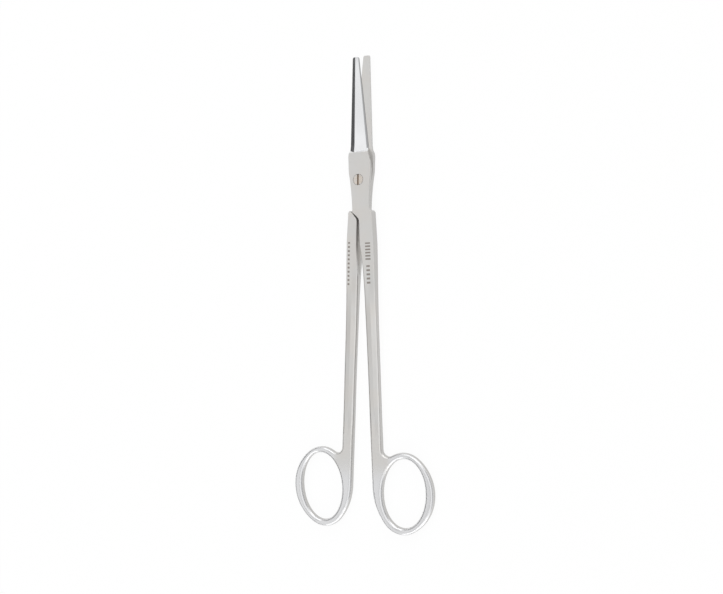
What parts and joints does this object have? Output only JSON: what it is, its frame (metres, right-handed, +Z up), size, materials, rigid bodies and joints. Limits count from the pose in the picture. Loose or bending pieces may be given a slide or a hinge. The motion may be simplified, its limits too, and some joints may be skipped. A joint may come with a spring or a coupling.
{
  "type": "facelift scissors",
  "caption": "Long slender surgical scissors with blunt narrow blades, a lapped screw joint and oval finger rings.",
  "frame": {"origin": "middle of the footprint, on the surface that the scissors lie on", "axes": "+Y from the rings towards the blade tips, +Z up through the flat of the scissors, out of the screw's slotted head"},
  "size_m": [0.071, 0.2183, 0.0047],
  "materials": {
    "steel": "satin shanks and box, polished blade and rings",
    "screw_steel": "satin"
  },
  "bodies": {
    "lower": {"lower_half": "steel", "pivot_screw": "screw_steel"},
    "upper": {"upper_half": "steel"}
  },
  "joints": [
    {"name": "blade_pivot", "type": "hinge", "parent": "lower", "child": "upper", "pos_m": [-0.00085, 0.0523, 0.0023], "axis": [0, 0, 1], "range_deg": [-3.2, 60]}
  ]
}
